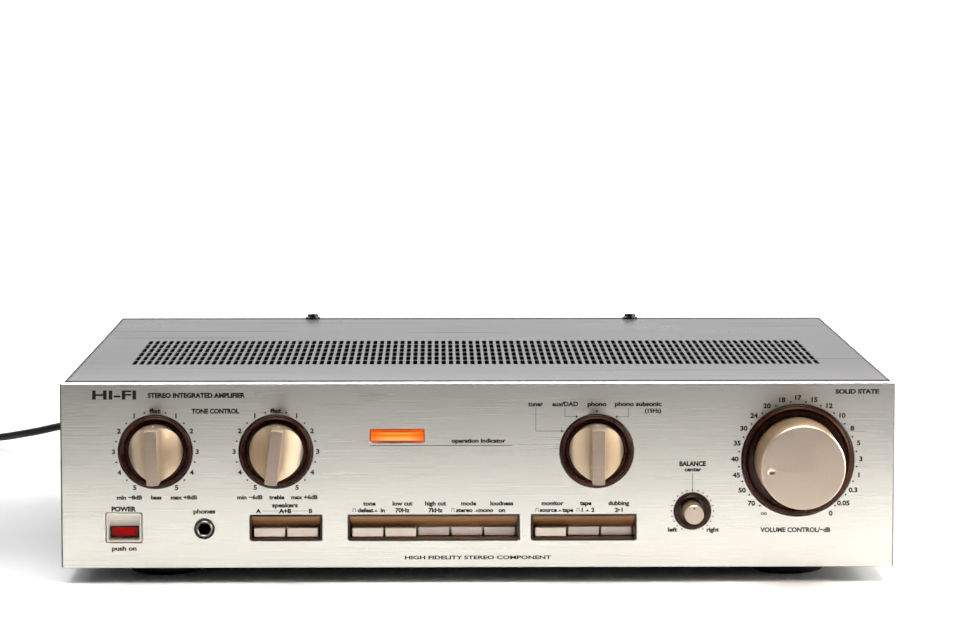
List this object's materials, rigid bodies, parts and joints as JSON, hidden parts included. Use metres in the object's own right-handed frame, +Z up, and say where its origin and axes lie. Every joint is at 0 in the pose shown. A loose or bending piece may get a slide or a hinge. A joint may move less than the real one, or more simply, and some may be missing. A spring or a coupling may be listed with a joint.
{
  "type": "integrated amplifier",
  "caption": "Full-width stereo amplifier with tone, selector, volume and balance knobs, rows of push buttons, a vented steel cover, rear sockets and a mains lead.",
  "frame": {"origin": "under the middle of the box round the amplifier without its mains lead, on the table", "axes": "+X to the right seen from the front, along the width; +Y to the back; +Z up, the shortest size"},
  "size_m": [0.6601, 0.6325, 0.1098],
  "materials": {
    "panel_aluminium": "horizontally brushed, clear anodised, with a bright bevelled top edge",
    "cover_paint": "fine grey enamel with light scratches",
    "rear_paint": "satin dark grey enamel",
    "zinc_steel": "zinc plated sheet",
    "core_steel": "varnished laminations and windings",
    "sink_aluminium": "black anodised",
    "knob_aluminium": "champagne anodised, satin, with bright turned edges",
    "bezel_plastic": "very dark red-brown, glossy",
    "button_plastic": "pinkish cream, satin",
    "red_plastic": "deep red, glossy",
    "silver_trim": "metallised silver",
    "black_plastic": "black, satin",
    "amber_lens": "translucent amber, lit from behind",
    "lamp_holder": "white moulding",
    "plated_steel": "nickel plated",
    "black_screw": "blackened steel",
    "foot_rubber": "matt black",
    "circuit_board": "pressed paper board, tan, with components",
    "capacitor_sleeve": "dark blue sleeve",
    "cord_rubber": "black flexible sheath",
    "plug_plastic": "black moulding with plated pins"
  },
  "bodies": {
    "amplifier": {"bass_ring": "bezel_plastic", "bass_potentiometer": "zinc_steel", "treble_ring": "bezel_plastic", "treble_potentiometer": "zinc_steel", "selector_ring": "bezel_plastic", "selector_switch": "zinc_steel", "volume_ring": "bezel_plastic", "volume_potentiometer": "zinc_steel", "balance_ring": "bezel_plastic", "balance_potentiometer": "zinc_steel", "speaker_bezel": "bezel_plastic", "function_bezel": "bezel_plastic", "tape_bezel": "bezel_plastic", "power_bezel": "silver_trim", "power_switch": "black_plastic", "switch_board": "circuit_board", "front_panel": "panel_aluminium", "headphone_jack": "plated_steel", "headphone_collar": "black_plastic", "indicator_lens": "amber_lens", "indicator_lamp": "lamp_holder", "front_subchassis": "zinc_steel", "chassis_base": "zinc_steel", "rear_panel": "rear_paint", "top_cover": "cover_paint", "cover_screw_left": "black_screw", "cover_screw_right": "black_screw", "foot_front_left": "foot_rubber", "foot_front_right": "foot_rubber", "foot_rear_left": "foot_rubber", "foot_rear_right": "foot_rubber", "phono_socket_block": "black_plastic", "speaker_terminal_block": "black_plastic", "power_transformer": "core_steel", "main_circuit_board": "circuit_board", "heat_sink": "sink_aluminium", "output_module": "black_plastic", "filter_capacitor_left": "capacitor_sleeve", "filter_capacitor_right": "capacitor_sleeve", "strain_relief": "cord_rubber", "power_cord": "cord_rubber", "cord_coil": "cord_rubber", "mains_plug": "plug_plastic"},
    "bass_control": {"bass_knob": "knob_aluminium"},
    "treble_control": {"treble_knob": "knob_aluminium"},
    "selector_control": {"selector_knob": "knob_aluminium"},
    "volume_control": {"volume_knob": "knob_aluminium"},
    "balance_control": {"balance_knob": "knob_aluminium"},
    "speaker_a_key": {"speaker_a_button": "button_plastic"},
    "speaker_b_key": {"speaker_b_button": "button_plastic"},
    "tone_key": {"tone_button": "button_plastic"},
    "low_cut_key": {"low_cut_button": "button_plastic"},
    "high_cut_key": {"high_cut_button": "button_plastic"},
    "mode_key": {"mode_button": "button_plastic"},
    "loudness_key": {"loudness_button": "button_plastic"},
    "monitor_key": {"monitor_button": "button_plastic"},
    "tape_key": {"tape_button": "button_plastic"},
    "dubbing_key": {"dubbing_button": "button_plastic"},
    "power_key": {"power_button": "red_plastic"}
  },
  "joints": [
    {"name": "bass_turn", "type": "hinge", "parent": "amplifier", "child": "bass_control", "pos_m": [-0.1692, -0.1597, 0.0698], "axis": [0, 1, 0], "range_deg": [-147.4, 152.6]},
    {"name": "treble_turn", "type": "hinge", "parent": "amplifier", "child": "treble_control", "pos_m": [-0.106, -0.1597, 0.0698], "axis": [0, 1, 0], "range_deg": [-157.2, 142.8]},
    {"name": "selector_turn", "type": "hinge", "parent": "amplifier", "child": "selector_control", "pos_m": [0.0623, -0.1597, 0.0698], "axis": [0, 1, 0], "range_deg": [-60, 30]},
    {"name": "volume_turn", "type": "hinge", "parent": "amplifier", "child": "volume_control", "pos_m": [0.1681, -0.1597, 0.0647], "axis": [0, 1, 0], "range_deg": [-51, 245]},
    {"name": "balance_turn", "type": "hinge", "parent": "amplifier", "child": "balance_control", "pos_m": [0.1128, -0.1597, 0.0379], "axis": [0, 1, 0], "range_deg": [-150, 150]},
    {"name": "speaker_a_push", "type": "slide", "parent": "amplifier", "child": "speaker_a_key", "axis": [0, 1, 0], "range_m": [0, 0.0034], "stiffness_N_per_m": 400},
    {"name": "speaker_b_push", "type": "slide", "parent": "amplifier", "child": "speaker_b_key", "axis": [0, 1, 0], "range_m": [0, 0.0034], "stiffness_N_per_m": 400},
    {"name": "tone_push", "type": "slide", "parent": "amplifier", "child": "tone_key", "axis": [0, 1, 0], "range_m": [0, 0.0034], "stiffness_N_per_m": 400},
    {"name": "low_cut_push", "type": "slide", "parent": "amplifier", "child": "low_cut_key", "axis": [0, 1, 0], "range_m": [0, 0.0034], "stiffness_N_per_m": 400},
    {"name": "high_cut_push", "type": "slide", "parent": "amplifier", "child": "high_cut_key", "axis": [0, 1, 0], "range_m": [-0.0034, 0]},
    {"name": "mode_push", "type": "slide", "parent": "amplifier", "child": "mode_key", "axis": [0, 1, 0], "range_m": [-0.0034, 0]},
    {"name": "loudness_push", "type": "slide", "parent": "amplifier", "child": "loudness_key", "axis": [0, 1, 0], "range_m": [-0.0034, 0]},
    {"name": "monitor_push", "type": "slide", "parent": "amplifier", "child": "monitor_key", "axis": [0, 1, 0], "range_m": [0, 0.0034], "stiffness_N_per_m": 400},
    {"name": "tape_push", "type": "slide", "parent": "amplifier", "child": "tape_key", "axis": [0, 1, 0], "range_m": [-0.0034, 0]},
    {"name": "dubbing_push", "type": "slide", "parent": "amplifier", "child": "dubbing_key", "axis": [0, 1, 0], "range_m": [-0.0034, 0]},
    {"name": "power_push", "type": "slide", "parent": "amplifier", "child": "power_key", "axis": [0, 1, 0], "range_m": [-0.004, 0]}
  ]
}
